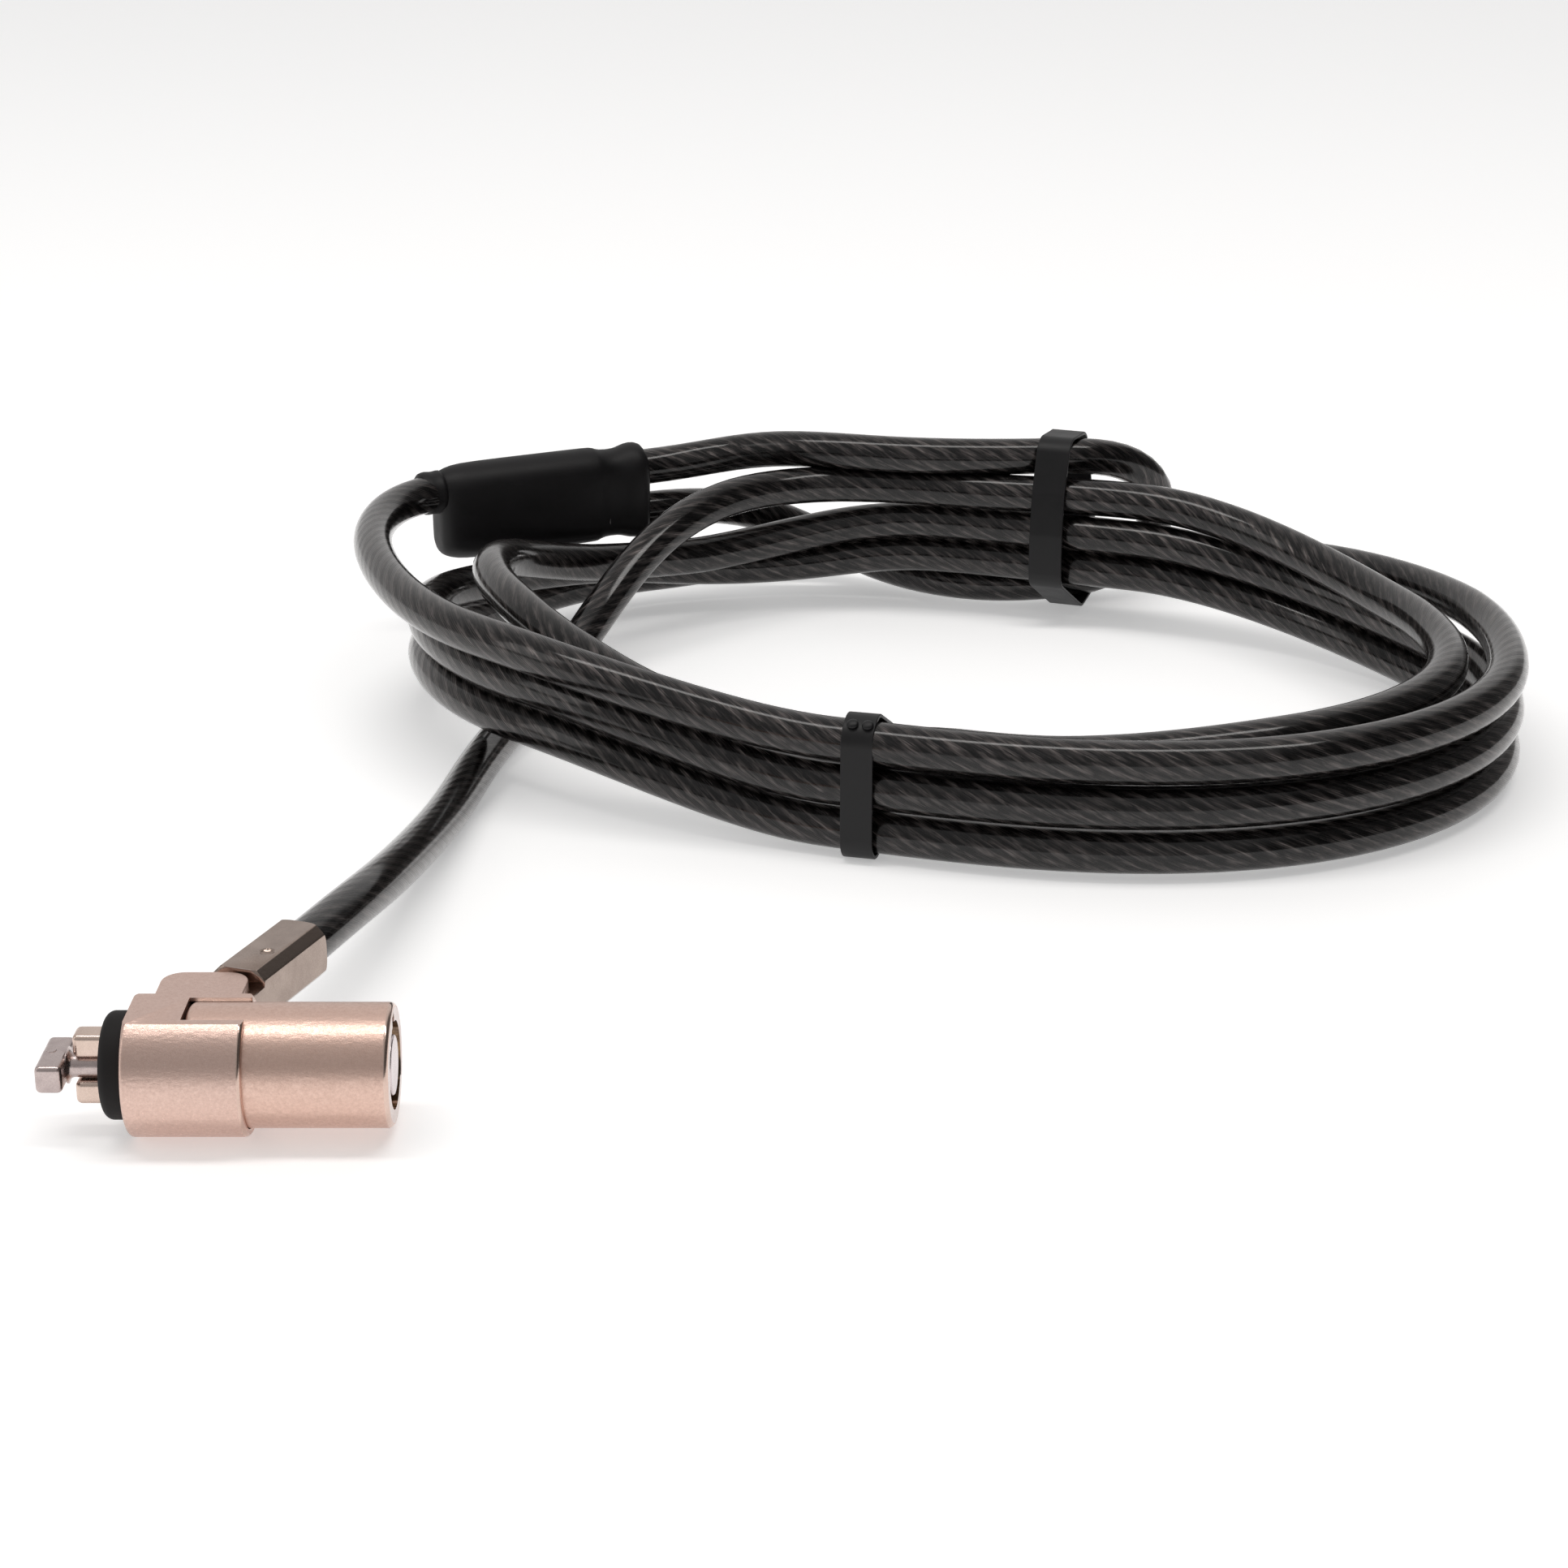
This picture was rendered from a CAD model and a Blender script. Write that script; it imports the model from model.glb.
import math

import bmesh
import bpy
from mathutils import Matrix, Vector


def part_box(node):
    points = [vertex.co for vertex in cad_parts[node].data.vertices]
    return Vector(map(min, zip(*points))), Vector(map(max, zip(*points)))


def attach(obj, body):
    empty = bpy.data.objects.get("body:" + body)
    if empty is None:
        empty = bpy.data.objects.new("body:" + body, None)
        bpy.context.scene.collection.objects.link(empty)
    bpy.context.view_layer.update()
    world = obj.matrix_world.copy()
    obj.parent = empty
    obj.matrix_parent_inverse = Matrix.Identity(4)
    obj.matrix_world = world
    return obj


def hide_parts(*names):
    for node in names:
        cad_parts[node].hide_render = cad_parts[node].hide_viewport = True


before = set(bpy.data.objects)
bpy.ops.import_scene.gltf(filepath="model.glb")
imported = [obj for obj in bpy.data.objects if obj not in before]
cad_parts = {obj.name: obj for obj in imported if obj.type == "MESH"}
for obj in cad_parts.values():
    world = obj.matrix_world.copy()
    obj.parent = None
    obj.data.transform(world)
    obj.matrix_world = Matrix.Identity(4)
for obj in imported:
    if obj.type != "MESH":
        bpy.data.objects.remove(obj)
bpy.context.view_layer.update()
mm = 0.001
print("frame loaded:", len(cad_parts), "nodes")


# Camera
shot = {
    "place": (57.54, -251.06, 116.77),  # mm from the washer's face
    "tilt": 70.0,  # degrees, 90 looks level
    "lens": 74.53,
    "sensor": 36.0,
    "clip": (0.01, 10),  # metres
}
cameraData = bpy.data.cameras.new("shotCamera")
cameraData.lens = shot["lens"]
cameraData.sensor_width = shot["sensor"]
cameraData.clip_start, cameraData.clip_end = shot["clip"]
camera = bpy.data.objects.new("shotCamera", cameraData)
camera.location = Vector(shot["place"]) * mm
camera.rotation_euler = (math.radians(shot["tilt"]), 0, 0)
bpy.context.scene.collection.objects.link(camera)
bpy.context.scene.camera = camera
bpy.context.scene.view_settings.view_transform = "Standard"
print("camera placed")


# Cable route, in mm. The coil is worked out by degrees of run, the rest follows guide points.
# A row of a table says how far, and between which degrees it comes in. Where it has two more,
# it goes out between those.
route = {
    "diameter": 4.5,
    "floor": -6.1,
    "pivot": (8.8, 9.1, 1.5),
    "ferruleTurn": 70,
    "ferruleReach": (9.6, 13.8),  # from the pivot: the cable's end, and where it may bend
    "coilCentre": (76.9, 106.5),
    "coilRadius": 53,
    "coilOval": 9.8,
    "coilTurn": 20.5,
    "coilRun": (-90, 1230),  # degrees of run where the coil starts and ends
    "coilStep": 3,
    "coilBase": 2.75,
    "turnPitch": 5,  # height from one turn to the next
    "firstLayer": 2,
    "layers": [(-1, 190, 236), (-1, 570, 615), (2, 1005, 1075)],
    "dips": [(-1.6, 50, 85, 136, 174), (-2.2, 92, 120, 136, 174)],
    "rise": [(5, 8, 56, 205, 250), (-4.1, 90, 127, 142, 179)],  # by degrees round the centre
    "swayStart": -0.5,
    "sway": [
        (2.2, -88, -58), (-8.2, -58, 8), (1.5, 30, 80), (-3, 140, 178), (8, 215, 262),
        (-1, 540, 568, 578, 602), (5.1, 915, 955), (-5.1, 1050, 1095), (2.6, 1190, 1232),
    ],
    "lean": 0.5,  # how far each turn leans over the one below, so that no light passes
    "backFrom": ((40, 60), (90, 140)),  # x and y over which the back of the coil begins
    "settle": 0.06,  # share of its height by which the back sinks
    "eyeSettle": 0.08,
    "guideSteps": 6,
    "coilBlend": 4.5,  # straight run on from either end of the coil
    "sleeveBlend": 2.6,
    "sleeveAt": (15.8, 144.2, 12.1),
    "sleeveTurn": math.degrees(math.atan2(1, 2)),
    "sleeveLength": 26.4,
    "sleeveSpan": 5.6,  # between the two legs of the eye
    "eyeStop": 4.5,  # how deep in the sleeve the eye's end stops
    "lead": [
        (16.2, 31.6, 1.2), (18, 40, 0.2), (19.5, 50, -1.2),
        (21, 62, -2.7), (22.2, 72, -3.6), (23.2, 82, -3.8),
        (24.6, 92, -3.8), (26.9, 103, -3.8), (29.6, 114, -3.5),
        (32.4, 122.5, -1.6), (35.6, 129, 1.8), (39.4, 134.5, 5.9),
        (44, 140, 9.1), (49.9, 146, 11.2), (56.7, 150.9, 11.65),
        (64.4, 153.1, 11.65),
    ],
    "tail": [
        (20.9, 88.5, 11.6), (14.9, 99, 11.6), (10.6, 111, 11.7),
        (8.2, 122, 11.9), (8.2, 132, 12), (10.2, 139, 12.1),
    ],
    "eye": [
        (43.9, 158.1, 12.3), (49.4, 158.6, 13.7), (55.4, 156.2, 15.9),
        (62.4, 152.7, 16.9), (71.4, 150.2, 16.75), (80.4, 149.5, 16.7),
        (88.4, 149.5, 16.7), (96.4, 150.9, 16.6), (101.4, 153.2, 15.1),
        (105.1, 156.2, 11.8), (106.5, 158, 6.7), (105.1, 159, 1.7),
        (101.4, 159, -2), (96.4, 157.6, -3.35), (90.4, 155.6, -3.35),
        (84.4, 155, -3.35), (77.9, 157.2, -3.35), (70.9, 162.7, -3.2),
        (63.9, 166.4, -0.6), (56.9, 166.6, 3), (50.4, 162.2, 5.7),
        (44.4, 158.6, 6.4),
    ],
}


def ease(start, stop, x):
    t = min(1.0, max(0.0, (x - start) / (stop - start)))
    return t * t * (3 - 2 * t)


def shifts(table, x):
    # what the rows of a table add up to at x degrees
    total = 0.0
    for amount, start, stop, *gone in table:
        total += amount * ease(start, stop, x) * (1 - ease(*gone, x) if gone else 1)
    return total


def climbAt(u):
    layers = route["firstLayer"] + shifts(route["layers"], u)
    return route["turnPitch"] * layers + shifts(route["dips"], u)


def backShare(x, y):
    acrossRange, alongRange = route["backFrom"]
    return ease(*alongRange, y) * ease(*acrossRange, x)


def settled(p, share="settle"):
    # a point let down at the back, more the higher it lies
    drop = route[share] * (p[2] - route["floor"] - route["coilBase"])
    return Vector((p[0], p[1], p[2] - drop * backShare(p[0], p[1])))


def strandAt(u):
    # centre of the coiled strand after u degrees of run, which go clockwise from above
    a = (-u) % 360
    r = route["coilRadius"] + route["swayStart"] + shifts(route["sway"], u)
    r += route["coilOval"] * math.cos(math.radians(2 * (a + route["coilTurn"])))
    x = route["coilCentre"][0] + r * math.cos(math.radians(a))
    y = route["coilCentre"][1] + r * math.sin(math.radians(a))
    climb = climbAt(u)
    y -= route["lean"] * (climb / route["turnPitch"] - 1) * (1 + backShare(x, y))
    z = route["floor"] + route["coilBase"] + climb + shifts(route["rise"], a)
    return settled((x, y, z))


def headingAt(u):
    return (strandAt(u + 0.5) - strandAt(u - 0.5)).normalized()


def smoothCurve(guide, steps):
    # a cubic B-spline that keeps the guide's two ends
    guide = [Vector(p) for p in guide]
    p = [2 * guide[0] - guide[1], *guide, 2 * guide[-1] - guide[-2]]
    out = []
    for i in range(len(guide) - 1):
        for k in range(steps):
            t = k / steps
            out.append(((1 - t) ** 3 * p[i]
                        + (3 * t ** 3 - 6 * t * t + 4) * p[i + 1]
                        + (-3 * t ** 3 + 3 * t * t + 3 * t + 1) * p[i + 2]
                        + t ** 3 * p[i + 3]) / 6)
    return out + [guide[-1]]


def runsAlong(points):
    runs = [0.0]
    for a, b in zip(points, points[1:]):
        runs.append(runs[-1] + (b - a).length)
    return runs


def evenSteps(points, step):
    runs = runsAlong(points)
    count = round(runs[-1] / step)
    out, k = [], 0
    for i in range(count + 1):
        want = runs[-1] * i / count
        while k < len(runs) - 2 and runs[k + 1] < want:
            k += 1
        t = (want - runs[k]) / (runs[k + 1] - runs[k])
        out.append(points[k].lerp(points[k + 1], min(1.0, t)))
    return out, runs[-1]


def levelHeading(degrees):
    turn = math.radians(degrees)
    return Vector((math.cos(turn), math.sin(turn), 0))


def cablePath():
    first, last = route["coilRun"]
    coil = [strandAt(u) for u in range(first, last + 1, route["coilStep"])]
    # from the ferrule to the coil
    pivot, mouth = Vector(route["pivot"]), levelHeading(route["ferruleTurn"])
    lead = [*[pivot + reach * mouth for reach in route["ferruleReach"]],
            *map(settled, route["lead"]),
            coil[0] - route["coilBlend"] * headingAt(first), coil[0]]
    # from the coil into the sleeve
    along = levelHeading(route["sleeveTurn"])
    start = Vector(route["sleeveAt"])
    tail = [coil[-1], coil[-1] + route["coilBlend"] * headingAt(last), *route["tail"],
            start - route["sleeveBlend"] * along, start]
    # through the sleeve, round the eye and back in below
    down = Vector((0, 0, route["sleeveSpan"]))
    stop = start + route["sleeveLength"] * along
    middle = (start + stop) / 2
    eye = [start, middle, stop, *[settled(p, "eyeSettle") for p in route["eye"]],
           stop - down, middle - down, start + route["eyeStop"] * along - down]
    steps = route["guideSteps"]
    whole = smoothCurve(lead, steps)[:-1] + coil[:-1]
    return whole + smoothCurve(tail, steps)[:-1] + smoothCurve(eye, steps)


# Mesh helpers. Pieces are shaped in mm and brought to metres at the end.
softEdge = {
    "sharp": 24,  # degrees between two faces, from where an edge is rounded
    "long": 8.0,  # edges past this length are rounded whatever stands beside them
    "slimmest": 0.5,  # width of the narrower face beside a shorter edge
    "segments": 3,
}
nodeCopy = {"merge": 2e-6, "flat": 0.6}  # metres, degrees


def toMetres(bm):
    bmesh.ops.scale(bm, vec=(mm, mm, mm), verts=bm.verts)


def putInOrder(elements, key):
    for index, element in enumerate(sorted(elements, key=key)):
        element.index = index
    elements.sort()


def steadyOrder(bm):
    # some operators leave corners, edges and faces in another order each run
    putInOrder(bm.verts, lambda v: tuple(v.co))
    for face in bm.faces[:]:
        corners = list(face.verts)
        first = corners.index(min(corners, key=lambda v: v.index))
        bm.faces.remove(face)
        bm.faces.new(corners[first:] + corners[:first])
    putInOrder(bm.edges, lambda e: sorted(v.index for v in e.verts))
    putInOrder(bm.faces, lambda f: [v.index for v in f.verts])


def softenEdges(bm, width, shortest):
    bm.normal_update()
    edges = []
    for e in bm.edges:
        if not e.is_convex or e.calc_face_angle(0) < math.radians(softEdge["sharp"]):
            continue
        length = e.calc_length() / mm
        slimmest = min(f.calc_area() / mm / mm for f in e.link_faces) / length
        roomy = length > shortest and slimmest > softEdge["slimmest"]
        if length > softEdge["long"] or roomy:
            edges.append(e)
    bmesh.ops.bevel(bm, geom=edges, offset=width * mm, offset_type="OFFSET",
                    segments=softEdge["segments"], profile=0.5, affect="EDGES",
                    material=-1, clamp_overlap=False)


def finishPiece(name, bm, material, body, bevel=0.0, shortest=1.0, sharp=32, trims=()):
    # a trim is a second material, and a test of which faces get it
    bmesh.ops.recalc_face_normals(bm, faces=bm.faces)
    if bevel:
        softenEdges(bm, bevel, shortest)
    bm.normal_update()
    for index, (trim, chosen) in enumerate(trims):
        for face in bm.faces:
            if chosen(face.calc_center_median() / mm, face.normal):
                face.material_index = index + 1
    mesh = bpy.data.meshes.new(name)
    bm.to_mesh(mesh)
    bm.free()
    mesh.shade_smooth()
    mesh.set_sharp_from_angle(angle=math.radians(sharp))
    mesh.materials.append(material)
    for trim, chosen in trims:
        mesh.materials.append(trim)
    piece = bpy.data.objects.new(name, mesh)
    bpy.context.scene.collection.objects.link(piece)
    flats = piece.modifiers.new("flatShading", "WEIGHTED_NORMAL")
    flats.keep_sharp = True
    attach(piece, body)
    return piece


def copyOfNode(node):
    # a solid's loose triangles, merged and joined into flat faces
    bm = bmesh.new()
    bm.from_mesh(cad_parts[node].data)
    bmesh.ops.remove_doubles(bm, verts=bm.verts, dist=nodeCopy["merge"])
    bmesh.ops.dissolve_limit(bm, angle_limit=math.radians(nodeCopy["flat"]),
                             verts=bm.verts, edges=bm.edges)
    return bm


# Shader helpers
def addNode(tree, kind, values=None, **settings):
    node = tree.nodes.new(kind)
    for key, value in settings.items():
        setattr(node, key, value)
    for key, value in (values or {}).items():
        node.inputs[key].default_value = value
    return node


def join(tree, source, target):
    tree.links.new(source, target)


def calc(tree, operation, *values):
    # a maths node, where each value is a number or another node's socket
    node = addNode(tree, "ShaderNodeMath", operation=operation)
    for index, value in enumerate(values):
        if isinstance(value, (int, float)):
            node.inputs[index].default_value = value
        else:
            join(tree, value, node.inputs[index])
    return node.outputs[0]


def stretched(tree, source, factors):
    node = addNode(tree, "ShaderNodeVectorMath", {1: factors}, operation="MULTIPLY")
    join(tree, source, node.inputs[0])
    return node.outputs[0]


def ranged(tree, source, low, high, toLow=0.0, toHigh=1.0):
    node = addNode(tree, "ShaderNodeMapRange", {
        "From Min": low, "From Max": high, "To Min": toLow, "To Max": toHigh})
    join(tree, source, node.inputs["Value"])
    return node.outputs[0]


def noise(tree, place, scale, detail, roughness):
    node = addNode(tree, "ShaderNodeTexNoise", {"Detail": detail, "Roughness": roughness})
    join(tree, place, node.inputs["Vector"])
    if isinstance(scale, float):
        node.inputs["Scale"].default_value = scale
    else:
        join(tree, scale, node.inputs["Scale"])
    return node.outputs["Fac"]


def blended(tree, share, first, second):
    node = addNode(tree, "ShaderNodeMix", data_type="RGBA")
    join(tree, share, node.inputs["Factor"])
    for index, tone in ((6, first), (7, second)):
        if isinstance(tone, tuple):
            node.inputs[index].default_value = (*tone, 1)
        else:
            join(tree, tone, node.inputs[index])
    return node.outputs[2]


def raiseSurface(tree, shader, height, strength, depth):
    relief = addNode(tree, "ShaderNodeBump", {"Strength": strength, "Distance": depth * mm})
    join(tree, height, relief.inputs["Height"])
    join(tree, relief.outputs["Normal"], shader.inputs["Normal"])


def newMaterial(name, values):
    material = bpy.data.materials.new(name)
    material.use_nodes = True
    tree = material.node_tree
    shader = tree.nodes["Principled BSDF"]
    for key, value in values.items():
        shader.inputs[key].default_value = value
    return material, tree, shader


def newGroup(name, inputs, outputs):
    group = bpy.data.node_groups.new(name, "ShaderNodeTree")
    for label, kind, value in inputs:
        socket = group.interface.new_socket(label, in_out="INPUT", socket_type=kind)
        socket.default_value = value
    for label, kind in outputs:
        group.interface.new_socket(label, in_out="OUTPUT", socket_type=kind)
    inside, out = group.nodes.new("NodeGroupInput"), group.nodes.new("NodeGroupOutput")
    return group, inside.outputs, out.inputs


# Grain shared by the metals, the rubbers and the straps: two sizes of mottle, and fine waves
def grainGroup():
    number, colour = "NodeSocketFloat", "NodeSocketColor"
    group, given, out = newGroup(
        "metalGrain",
        [("Fine Size", number, 0.12), ("Blotch Size", number, 2.5),
         ("Base", colour, (0.6, 0.5, 0.4, 1)), ("Shade", colour, (0.5, 0.4, 0.3, 1)),
         ("Roughness", number, 0.3), ("Roughness Spread", number, 0.1)],
        [("Color", colour), ("Roughness", number), ("Height", number)])
    spot = addNode(group, "ShaderNodeTexCoord")
    inMm = stretched(group, spot.outputs["Object"], (1000, 1000, 1000))
    fineScale = calc(group, "DIVIDE", 1.0, given["Fine Size"])
    blotchScale = calc(group, "DIVIDE", 1.0, given["Blotch Size"])
    fine = noise(group, inMm, fineScale, 3.0, 0.6)
    blotch = noise(group, inMm, blotchScale, 4.0, 0.55)
    both = calc(group, "MULTIPLY_ADD", blotch, 0.55, calc(group, "MULTIPLY", fine, 0.45))
    mottle = ranged(group, both, 0.35, 0.65)
    join(group, blended(group, mottle, given["Base"], given["Shade"]), out["Color"])
    gloss = calc(group, "MULTIPLY_ADD", calc(group, "SUBTRACT", mottle, 0.5),
                 given["Roughness Spread"], given["Roughness"])
    join(group, gloss, out["Roughness"])
    waves = noise(group, stretched(group, inMm, (0.5, 1, 1)),
                  calc(group, "MULTIPLY", fineScale, 0.3), 2.0, 0.5)
    join(group, calc(group, "MULTIPLY_ADD", waves, 1.2, fine), out["Height"])
    return group


metalGrain = grainGroup()


def grainyMaterial(name, base, shade, roughness, spread=0.1, fineSize=0.12, blotchSize=2.5,
                   bump=0.3, depth=0.01, metallic=1.0, specular=0.5):
    material, tree, shader = newMaterial(
        name, {"Metallic": metallic, "Specular IOR Level": specular})
    grain = addNode(tree, "ShaderNodeGroup", node_tree=metalGrain, values={
        "Fine Size": fineSize, "Blotch Size": blotchSize, "Base": (*base, 1),
        "Shade": (*shade, 1), "Roughness": roughness, "Roughness Spread": spread})
    join(tree, grain.outputs["Color"], shader.inputs["Base Color"])
    join(tree, grain.outputs["Roughness"], shader.inputs["Roughness"])
    raiseSurface(tree, shader, grain.outputs["Height"], bump, depth)
    return material


# Sizes of grain and depth of relief are in mm
finishes = {
    "champagneCast": {
        "base": (0.77, 0.565, 0.49), "shade": (0.64, 0.455, 0.39), "roughness": 0.33,
        "spread": 0.13, "fineSize": 0.1, "blotchSize": 0.3, "bump": 0.55, "depth": 0.03},
    "champagneBarrel": {
        "base": (0.78, 0.56, 0.475), "shade": (0.65, 0.45, 0.375), "roughness": 0.34,
        "spread": 0.12, "fineSize": 0.11, "blotchSize": 0.32, "bump": 0.48, "depth": 0.03},
    "champagneFerrule": {
        "base": (0.42, 0.335, 0.29), "shade": (0.31, 0.24, 0.205), "roughness": 0.2,
        "bump": 0.35, "depth": 0.02},
    "prongMetal": {
        "base": (0.74, 0.59, 0.51), "shade": (0.62, 0.48, 0.41), "roughness": 0.26},
    "barMetal": {
        "base": (0.58, 0.49, 0.47), "shade": (0.46, 0.38, 0.37), "roughness": 0.28,
        "blotchSize": 1.0},
    "coreMetal": {
        "base": (0.70, 0.61, 0.62), "shade": (0.62, 0.53, 0.54), "roughness": 0.28},
    "polishedRim": {
        "base": (0.74, 0.56, 0.48), "shade": (0.65, 0.48, 0.41), "roughness": 0.18,
        "bump": 0.12},
    "brightEdge": {
        "base": (0.97, 0.93, 0.90), "shade": (0.90, 0.84, 0.80), "roughness": 0.3,
        "bump": 0.12},
    "turnedFace": {
        "base": (0.72, 0.62, 0.59), "shade": (0.64, 0.54, 0.51), "roughness": 0.3},
    "keywayBore": {
        "base": (0.09, 0.06, 0.045), "shade": (0.30, 0.19, 0.11), "roughness": 0.22,
        "blotchSize": 0.8},
    "pinBrass": {
        "base": (0.72, 0.50, 0.24), "shade": (0.55, 0.36, 0.16), "roughness": 0.25},
    "darkSteel": {
        "base": (0.30, 0.29, 0.29), "shade": (0.20, 0.19, 0.19), "roughness": 0.30},
    "washerRubber": {
        "base": (0.006, 0.005, 0.005), "shade": (0.011, 0.009, 0.009), "roughness": 0.7,
        "metallic": 0.0, "bump": 0.3, "specular": 0.3},
    "sleeveRubber": {
        "base": (0.004, 0.0035, 0.004), "shade": (0.007, 0.006, 0.007), "roughness": 0.5,
        "metallic": 0.0, "bump": 0.25, "specular": 0.3},
    "tiePlastic": {
        "base": (0.003, 0.003, 0.0035), "shade": (0.006, 0.0055, 0.0065), "roughness": 0.45,
        "metallic": 0.0, "bump": 0.2, "specular": 0.35},
}
finish = {name: grainyMaterial(name, **values) for name, values in finishes.items()}


# Clear smoky coat over a laid steel rope. The pattern follows the cable's own UV map.
rope = {
    "strands": 10, "lay": 26.0,  # strands round the rope, mm along for one turn
    "strandPower": 1.1, "wires": 55, "wirePower": 2.0, "wireShare": 0.13,
    "glintWidth": 0.45, "glintStretch": 5, "glintRange": (0.42, 0.68), "leastGlint": 0.05,
    "dark": (0.0012, 0.0012, 0.0014), "light": (0.112, 0.097, 0.093),
    "metallic": 0.85, "roughness": 0.28, "tint": (0.5, 0.48, 0.47),
    "coatRoughness": 0.12, "coatIor": 1.42,
    "reliefStrength": 0.7, "reliefDepth": 0.3,
}


def humps(tree, across, count, power):
    part = calc(tree, "FRACT", calc(tree, "MULTIPLY", across, count))
    fromCentre = calc(tree, "ABSOLUTE", calc(tree, "MULTIPLY_ADD", part, 2.0, -1.0))
    return calc(tree, "SUBTRACT", 1.0, calc(tree, "POWER", fromCentre, power))


def cableMaterial():
    material, tree, shader = newMaterial("smokyCable", {
        "Metallic": rope["metallic"], "Roughness": rope["roughness"],
        "Specular Tint": (*rope["tint"], 1), "Coat Weight": 1.0,
        "Coat Roughness": rope["coatRoughness"], "Coat IOR": rope["coatIor"]})
    girth = math.pi * route["diameter"]
    uv = addNode(tree, "ShaderNodeUVMap", uv_map="alongCable")
    split = addNode(tree, "ShaderNodeSeparateXYZ")
    join(tree, uv.outputs["UV"], split.inputs[0])
    # place across the strands, in turns round the rope
    across = calc(tree, "MULTIPLY_ADD", split.outputs["Y"], girth / rope["lay"],
                  split.outputs["X"])
    strand = humps(tree, across, rope["strands"], rope["strandPower"])
    wire = humps(tree, across, rope["wires"], rope["wirePower"])
    height = calc(tree, "MULTIPLY_ADD", wire, rope["wireShare"],
                  calc(tree, "MULTIPLY", strand, 1 - rope["wireShare"]))
    # glints that run along the strands, from a frame that twists with them
    angle = calc(tree, "MULTIPLY", across, 2 * math.pi)
    twisted = addNode(tree, "ShaderNodeCombineXYZ")
    for axis, wave in (("X", "COSINE"), ("Y", "SINE")):
        swing = calc(tree, "MULTIPLY", calc(tree, wave, angle), route["diameter"] / 2)
        join(tree, swing, twisted.inputs[axis])
    along = calc(tree, "MULTIPLY", split.outputs["Y"], girth / rope["glintStretch"])
    join(tree, along, twisted.inputs["Z"])
    glint = noise(tree, twisted.outputs[0], 1 / rope["glintWidth"], 2.0, 0.6)
    patches = ranged(tree, glint, *rope["glintRange"], rope["leastGlint"])
    lit = calc(tree, "MULTIPLY", height, patches)
    join(tree, blended(tree, lit, rope["dark"], rope["light"]), shader.inputs["Base Color"])
    raiseSurface(tree, shader, height, rope["reliefStrength"], rope["reliefDepth"])
    return material


cablePlastic = cableMaterial()
print("materials made")


# Floor and lights, in metres
studio = {
    "floorSize": 3.0, "floorTone": 0.95, "floorGlow": 0.36, "floorGap": 0.00002,
    "walls": 0.37, "ceiling": 0.5, "backWall": 0.7, "rightFlag": 0.2,  # brightness
    "ceilingFade": (0.35, 0.95), "backFade": (0.2, 0.8), "rightFade": (0.4, 0.6),
    "skyColour": (1, 0.99, 0.985), "lampColour": (1, 0.98, 0.96),
}
lamps = [
    # name, place, target, size, power
    ("topSoftbox", (0.06, 0.02, 0.70), (0.06, 0.06, 0), (0.9, 0.13), 2.1),
    ("leftSoftbox", (-0.7, -0.1, 0.35), (0.02, 0.02, 0), (0.3, 0.5), 0.5),
]


def layFloor():
    bm = bmesh.new()
    bmesh.ops.create_grid(bm, x_segments=2, y_segments=2, size=studio["floorSize"])
    level = route["floor"] * mm - studio["floorGap"]
    bmesh.ops.translate(bm, vec=(0, 0, level), verts=bm.verts)
    mesh = bpy.data.meshes.new("floor")
    bm.to_mesh(mesh)
    bm.free()
    floor = bpy.data.objects.new("floor", mesh)
    bpy.context.scene.collection.objects.link(floor)
    paint = newMaterial("paleFloor", {
        "Base Color": (*(studio["floorTone"],) * 3, 1), "Roughness": 0.6,
        "Specular IOR Level": 0.2, "Emission Color": (1, 1, 1, 1),
        "Emission Strength": studio["floorGlow"]})[0]
    mesh.materials.append(paint)


def hangSky():
    world = bpy.data.worlds.new("studioSky")
    world.use_nodes = True
    bpy.context.scene.world = world
    tree = world.node_tree
    glow = tree.nodes["Background"]
    spot = addNode(tree, "ShaderNodeTexCoord")
    split = addNode(tree, "ShaderNodeSeparateXYZ")
    join(tree, spot.outputs["Generated"], split.inputs[0])
    upper = ranged(tree, split.outputs["Z"], *studio["ceilingFade"],
                   studio["walls"], studio["ceiling"])
    back = ranged(tree, split.outputs["Y"], *studio["backFade"],
                  0.0, studio["backWall"] - studio["walls"])
    right = ranged(tree, split.outputs["X"], *studio["rightFade"], 1.0, studio["rightFlag"])
    strength = calc(tree, "MULTIPLY", calc(tree, "ADD", upper, back), right)
    join(tree, strength, glow.inputs["Strength"])
    glow.inputs["Color"].default_value = (*studio["skyColour"], 1)


def addLamp(name, place, target, size, power):
    data = bpy.data.lights.new(name, "AREA")
    data.shape = "RECTANGLE"
    data.size, data.size_y = size
    data.energy = power
    data.color = studio["lampColour"]
    lamp = bpy.data.objects.new(name, data)
    lamp.location = Vector(place)
    lamp.rotation_euler = (Vector(target) - Vector(place)).to_track_quat("-Z", "Y").to_euler()
    bpy.context.scene.collection.objects.link(lamp)


layFloor()
hangSky()
for lamp in lamps:
    addLamp(*lamp)
print("studio ready")


# Cable
cableTube = {"radius": 2.28, "step": 1.9, "sides": 24}  # a hair thicker than its solid


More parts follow.
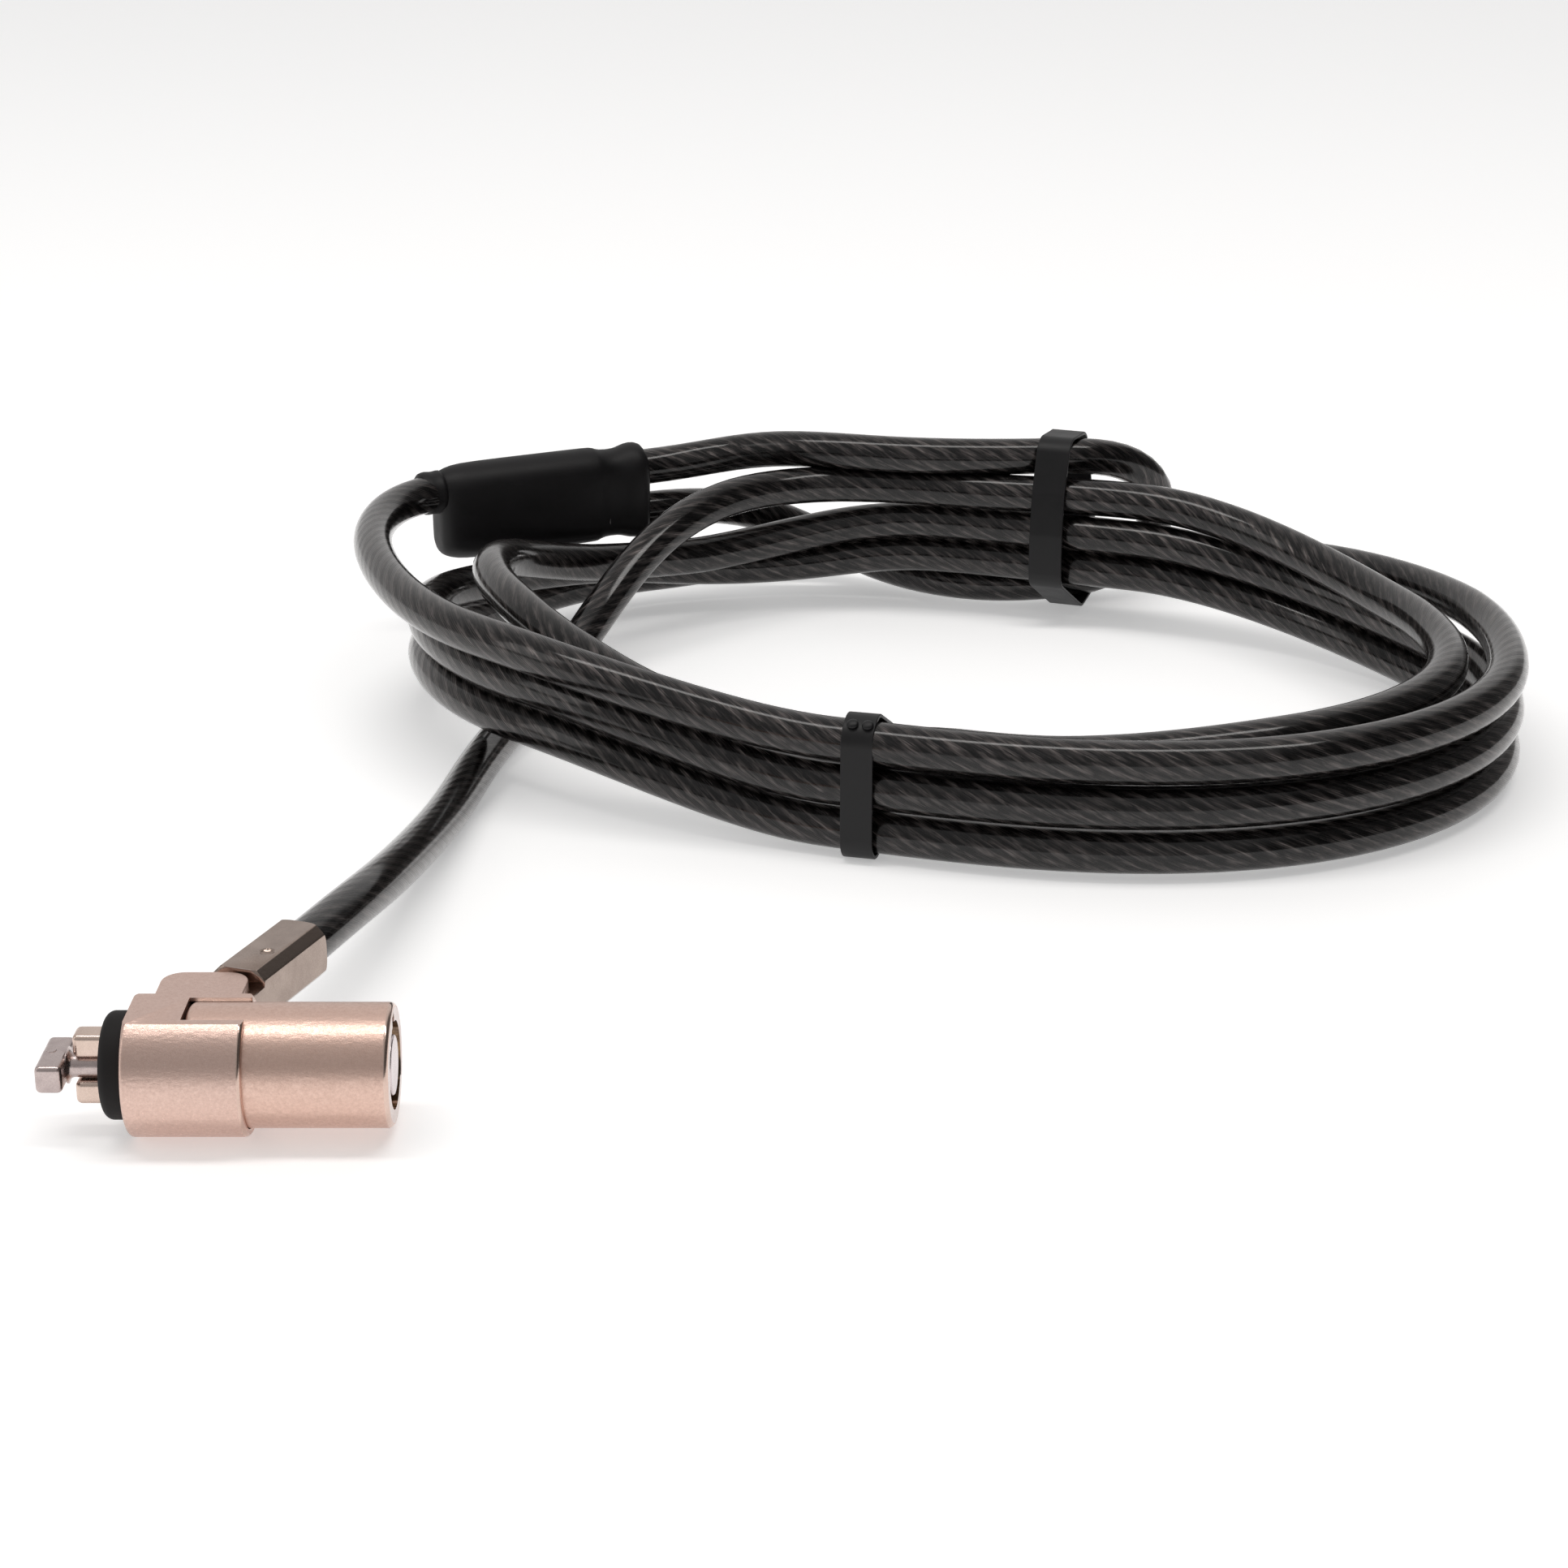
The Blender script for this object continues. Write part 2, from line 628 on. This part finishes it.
def sweptTube(name, points, radius, sides, material, body):
    rows = len(points)
    headings = []
    for i in range(rows):
        ahead = points[min(rows - 1, i + 1)] - points[max(0, i - 1)]
        headings.append(ahead.normalized())
    # a side direction carried along the tube, so that it doesn't twist
    side = headings[0].cross(Vector((0, 0, 1))).normalized()
    sideways = []
    for heading in headings:
        side = (side - side.dot(heading) * heading).normalized()
        sideways.append(side.copy())
    runs = runsAlong(points)
    girth = 2 * math.pi * radius
    # a flat grid with its UV map, rolled up round the line
    bm = bmesh.new()
    uv = bm.loops.layers.uv.new("alongCable")
    bmesh.ops.create_grid(bm, x_segments=sides, y_segments=rows - 1, size=1, calc_uvs=True)
    for face in bm.faces:
        for loop in face.loops:
            x, y = loop.vert.co.xy
            row = round((y + 1) / 2 * (rows - 1))
            loop[uv].uv = ((x + 1) / 2, runs[row] / girth)
    for vert in bm.verts:
        turn = math.pi * (vert.co.x + 1)
        row = round((vert.co.y + 1) / 2 * (rows - 1))
        up = sideways[row].cross(headings[row])
        vert.co = points[row] + radius * (math.cos(turn) * sideways[row] + math.sin(turn) * up)
    bmesh.ops.remove_doubles(bm, verts=bm.verts, dist=radius * 0.01)
    openEdges = [e for e in bm.edges if e.is_boundary]
    bmesh.ops.holes_fill(bm, edges=openEdges, sides=0)
    toMetres(bm)
    return finishPiece(name, bm, material, body, sharp=60)


cableLine, cableLength = evenSteps(cablePath(), cableTube["step"])
cable = sweptTube("coatedCable", cableLine, cableTube["radius"], cableTube["sides"],
                  cablePlastic, "cable")
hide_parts("cable_lead", "cable_coil", "cable_tail", "cable_eye")
print("cable laid:", round(cableLength), "mm")


# Rigid pieces that keep their solids' shapes, some with faces in a second finish.
# Places are in mm, along the lock's axis from the washer's face, or out from that axis.
turned = {
    "collarEnd": 12.3, "collarRim": 5.0,  # least radius of a rim's faces
    "barrelEnd": 24.5, "barrelRim": 4.3,
    "rimDeep": 0.62, "rimSlope": (0.12, 0.97),  # how far a rim's faces look along the axis
    "bore": 3.9, "boreFrom": 15,
    "flat": 5.2, "flatEdge": 3.2, "edgeSlope": (0.88, 0.996),  # how far they look up
    "slotEdge": 2.3, "slotFrom": 7,
    "square": 0.98,  # faces that look straight along an axis
    "postFace": 0.3, "postReach": 0.38,
}


def onRim(end, radius):
    low, high = turned["rimSlope"]

    def chosen(spot, normal):
        near = end - turned["rimDeep"] < spot.x < end and math.hypot(spot.y, spot.z) > radius
        return near and low < normal.x < high
    return chosen


def onFlatEdge(spot, normal):
    low, high = turned["edgeSlope"]
    rounded = low < normal.z < high and abs(abs(spot.y) - turned["flatEdge"]) < 0.2
    slotWall = abs(normal.y) > turned["square"] and abs(abs(spot.y) - turned["slotEdge"]) < 0.1
    upper = spot.z > turned["flat"] - 0.3
    return upper and (rounded or (slotWall and spot.x > turned["slotFrom"]))


def onFace(spot, normal):
    return normal.x > turned["square"] and spot.x > turned["barrelEnd"] - 0.05


def inBore(spot, normal):
    deep = turned["boreFrom"] < spot.x < turned["barrelEnd"]
    return deep and math.hypot(spot.y, spot.z) < turned["bore"]


def levelPost(bm):
    # the keyway post's face stands level with the barrel's end
    top = max(v.co.x for v in bm.verts)
    for v in bm.verts:
        if v.co.x > top - turned["postFace"] * mm:
            v.co.x += turned["postReach"] * mm


collarTrims = [(finish["polishedRim"], onRim(turned["collarEnd"], turned["collarRim"])),
               (finish["brightEdge"], onFlatEdge)]
barrelTrims = [(finish["polishedRim"], onRim(turned["barrelEnd"], turned["barrelRim"])),
               (finish["turnedFace"], onFace), (finish["keywayBore"], inBore)]
copies = [
    # node, piece, body, finish, slot, edge width, shortest edge that gets it, trims
    ("collar", "castCollar", "collar", "champagneCast", "collar_satin", 0.15, 0.17, collarTrims),
    ("barrel", "lockBarrel", "barrel", "champagneBarrel", "barrel_satin", 0, 0, barrelTrims),
    ("rubber_washer", "rubberWasher", "barrel", "washerRubber", "black_rubber", 0, 0, []),
    ("lock_core", "lockCore", "core", "darkSteel", "steel_dark", 0, 0, []),
    ("core_post", "corePost", "core", "coreMetal", "core_brass", 0, 0, []),
    ("key_pins", "keyPins", "key_pins", "pinBrass", "core_brass", 0, 0, []),
    ("pivot_pin", "pivotPin", "collar", "coreMetal", "steel_bright", 0, 0, []),
    ("ferrule", "cableFerrule", "cable", "champagneFerrule", "collar_satin", 0.12, 1.2, []),
]
for node, name, body, finishName, slotName, bevel, shortest, trims in copies:
    bm = copyOfNode(node)
    if node == "core_post":
        levelPost(bm)
    piece = finishPiece(name, bm, finish[finishName], body, bevel, shortest, trims=trims)
    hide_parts(node)
print("collar, barrel and ferrule made")


def nodeBox(node):
    low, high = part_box(node)
    return Vector(low) / mm, Vector(high) / mm


def softBlock(bm, low, high, edge):
    made = bmesh.ops.create_cube(bm, size=1)["verts"]
    low, high = Vector(low), Vector(high)
    bmesh.ops.scale(bm, vec=high - low, verts=made)
    bmesh.ops.translate(bm, vec=(low + high) / 2, verts=made)
    edges = list(dict.fromkeys(e for v in made for e in v.link_edges))
    bmesh.ops.bevel(bm, geom=edges, offset=edge, offset_type="OFFSET", segments=4,
                    profile=0.5, affect="EDGES", material=-1, clamp_overlap=True)


def barAlong(bm, start, stop, radius, segments):
    made = bmesh.ops.create_cone(bm, segments=segments, radius1=radius, radius2=radius,
                                 depth=stop - start, cap_ends=True)["verts"]
    bmesh.ops.rotate(bm, matrix=Matrix.Rotation(math.pi / 2, 3, "Y"), verts=made)
    bmesh.ops.translate(bm, vec=((start + stop) / 2, 0, 0), verts=made)


# Crossbar that turns behind the case wall
crossbar = {
    "thick": 2.3, "halfWidth": 1.25, "edge": 0.48,
    "shaft": 1.05, "shaftEnd": 9.4, "shaftSunk": 0.5, "segments": 40,
    "flare": 0.55, "flareSunk": 0.1, "flareIn": 0.02,
    "markRadius": 0.4, "markTaper": 0.05, "markHigh": 0.06, "markLift": 0.02,
    "markAt": (0.85, 0.2),
}


def makeCrossbar():
    low, high = nodeBox("t_bar")
    back = low.x + crossbar["thick"]
    bm = bmesh.new()
    softBlock(bm, (low.x, low.y, -crossbar["halfWidth"]),
              (back, high.y, crossbar["halfWidth"]), crossbar["edge"])
    barAlong(bm, back - crossbar["shaftSunk"], crossbar["shaftEnd"], crossbar["shaft"],
             crossbar["segments"])
    # flare where the shaft runs into the bar
    flare = crossbar["flare"]
    corner = crossbar["shaft"] + flare
    verts = [bm.verts.new((back - crossbar["flareSunk"], 0, corner - crossbar["flareIn"]))]
    for degrees in range(0, 91, 15):
        a = math.radians(degrees)
        verts.append(bm.verts.new((back + flare * (1 - math.cos(a)), 0,
                                   corner - flare * math.sin(a))))
    edges = [bm.edges.new(pair) for pair in zip(verts, verts[1:])]
    bmesh.ops.spin(bm, geom=verts + edges, cent=(0, 0, 0), axis=(1, 0, 0),
                   angle=2 * math.pi, steps=crossbar["segments"], use_merge=True)
    # round mark of the pressed shaft on the bar's upper side
    radius = crossbar["markRadius"]
    mark = bmesh.ops.create_cone(bm, segments=32, radius1=radius + crossbar["markTaper"],
                                 radius2=radius, depth=crossbar["markHigh"],
                                 cap_ends=True)["verts"]
    x, y = crossbar["markAt"]
    upper = crossbar["halfWidth"] + crossbar["markLift"]
    bmesh.ops.translate(bm, vec=(low.x + x, y, upper), verts=mark)
    toMetres(bm)
    steadyOrder(bm)
    piece = finishPiece("lockingBar", bm, finish["barMetal"], "core")
    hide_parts("t_bar")


# Two prongs that fill the slot's height above and below the shaft, on a round seat
prongs = {"halfWidth": 1.225, "inner": 1.1, "edge": 0.5, "sunk": 0.4,
          "seat": 2.2, "back": 4.5, "radius": 3.05, "segments": 48}


def makeProngs():
    low, high = nodeBox("nose_block")
    half = prongs["halfWidth"]
    bm = bmesh.new()
    for side in (-1, 1):
        heights = sorted((side * prongs["inner"], side * high.z))
        softBlock(bm, (low.x, -half, heights[0]),
                  (prongs["seat"] + prongs["sunk"], half, heights[1]), prongs["edge"])
    barAlong(bm, prongs["seat"], prongs["back"], prongs["radius"], prongs["segments"])
    toMetres(bm)
    steadyOrder(bm)
    piece = finishPiece("noseProngs", bm, finish["prongMetal"], "barrel")
    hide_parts("nose_block")


makeCrossbar()
makeProngs()
print("crossbar and prongs made")


# Moulded sleeve at the eye, as places along it with how far it stands from its core
sleeveForm = {
    "body": [(-2.1, 1.2), (-1.9, 2.2), (-1.2, 2.75), (0.2, 3.2), (2.4, 3.4), (12, 3.38),
             (18.9, 3.38), (19.4, 3.3), (20.2, 2.88), (22.5, 2.84), (23.4, 3.2),
             (24.6, 3.5), (25.8, 3.3), (26.4, 2.4)],
    "lip": [(-4.4, 2.3), (-4.1, 2.6), (-3.3, 2.8), (-2.6, 2.62), (-1.9, 2.75), (-1.0, 2.9)],
    "segments": 24,
}


def loftAlong(name, stations, span, material):
    bm = bmesh.new()
    for x, radius in stations:
        ring = bmesh.ops.create_circle(bm, segments=sleeveForm["segments"], radius=radius)["verts"]
        low = [v for v in ring if v.co.y < -1e-6]
        bmesh.ops.translate(bm, vec=(0, -span, 0), verts=low)
        bmesh.ops.translate(bm, vec=(0, 0, x), verts=ring)
    bmesh.ops.bridge_loops(bm, edges=bm.edges[:])
    ends = [e for e in bm.edges if e.is_boundary]
    bmesh.ops.holes_fill(bm, edges=ends, sides=0)
    # stood up, laid along x, then turned to its place
    for degrees, axis in ((90, "X"), (90, "Z"), (route["sleeveTurn"], "Z")):
        bmesh.ops.rotate(bm, matrix=Matrix.Rotation(math.radians(degrees), 3, axis),
                         verts=bm.verts)
    bmesh.ops.translate(bm, vec=route["sleeveAt"], verts=bm.verts)
    toMetres(bm)
    piece = finishPiece(name, bm, material, "cable", sharp=120)
    smooth = piece.modifiers.new("smooth", "SUBSURF")
    smooth.levels = smooth.render_levels = 1
    return piece


eyeSleeve = loftAlong("eyeSleeve", sleeveForm["body"], route["sleeveSpan"],
                      finish["sleeveRubber"])
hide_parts("eye_sleeve")
sleeveLip = loftAlong("sleeveLip", sleeveForm["lip"], 0, finish["sleeveRubber"])
print("sleeve moulded")


# Straps round the coil, a little narrower than their solids
straps = {
    "frontTurn": 255, "backTurn": 70,  # where on the coil, in degrees round its centre
    "narrow": 0.85, "edge": 0.1, "shortestEdge": 0.3,
    "backReach": 0.75,  # how much further in the back strap's inner side stands
    "studRadius": 0.62, "studFlat": 0.45, "studReach": 2.75, "studRise": 60, "studGap": 0.8,
}


def strapPiece(node, name, turn, reach=0.0):
    bm = copyOfNode(node)
    middle = sum((v.co for v in bm.verts), Vector()) / len(bm.verts)
    local = Matrix.Rotation(-math.radians(turn), 4, "Z") @ Matrix.Translation(-middle)
    bmesh.ops.scale(bm, vec=(1, straps["narrow"], 1), space=local, verts=bm.verts)
    out = levelHeading(turn)
    for v in bm.verts:
        v.co = settled(v.co / mm) * mm
        if (v.co - middle).dot(out) < 0:
            v.co -= reach * mm * out
    piece = finishPiece(name, bm, finish["tiePlastic"], "cable", straps["edge"],
                        straps["shortestEdge"])
    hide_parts(node)
    return piece


def strapStuds():
    turn = straps["frontTurn"]
    out, side = levelHeading(turn), levelHeading(turn + 90)
    top = max((strandAt(360 * k - turn) for k in (1, 2, 3, 4)), key=lambda p: p.z)
    rise = math.radians(straps["studRise"])
    normal = math.cos(rise) * out + math.sin(rise) * Vector((0, 0, 1))
    facing = normal.to_track_quat("Z", "Y").to_matrix().to_4x4()
    flat = Matrix.Diagonal((1, 1, straps["studFlat"], 1))
    bm = bmesh.new()
    for s in (-1, 1):
        spot = top + straps["studReach"] * normal + s * straps["studGap"] * side
        bmesh.ops.create_uvsphere(bm, u_segments=20, v_segments=12, radius=straps["studRadius"],
                                  matrix=Matrix.Translation(spot) @ facing @ flat)
    toMetres(bm)
    steadyOrder(bm)
    piece = finishPiece("strapStuds", bm, finish["tiePlastic"], "cable")
    return piece


frontTie = strapPiece("front_tie", "frontTie", straps["frontTurn"])
backTie = strapPiece("back_tie", "backTie", straps["backTurn"], straps["backReach"])
studs = strapStuds()
print("straps closed")


# Inner pieces that stay as their solids
hidden = {
    "stator": "pinBrass", "stator_pin": "darkSteel", "core_pin": "darkSteel",
    "driver_pins": "pinBrass", "pin_springs": "coreMetal", "collar_ring": "darkSteel",
    "strand_end": "coreMetal", "eye_crimp": "darkSteel",
}
for node, finishName in hidden.items():
    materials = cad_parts[node].data.materials
    materials.clear()
    materials.append(finish[finishName])
print("pieces dressed")
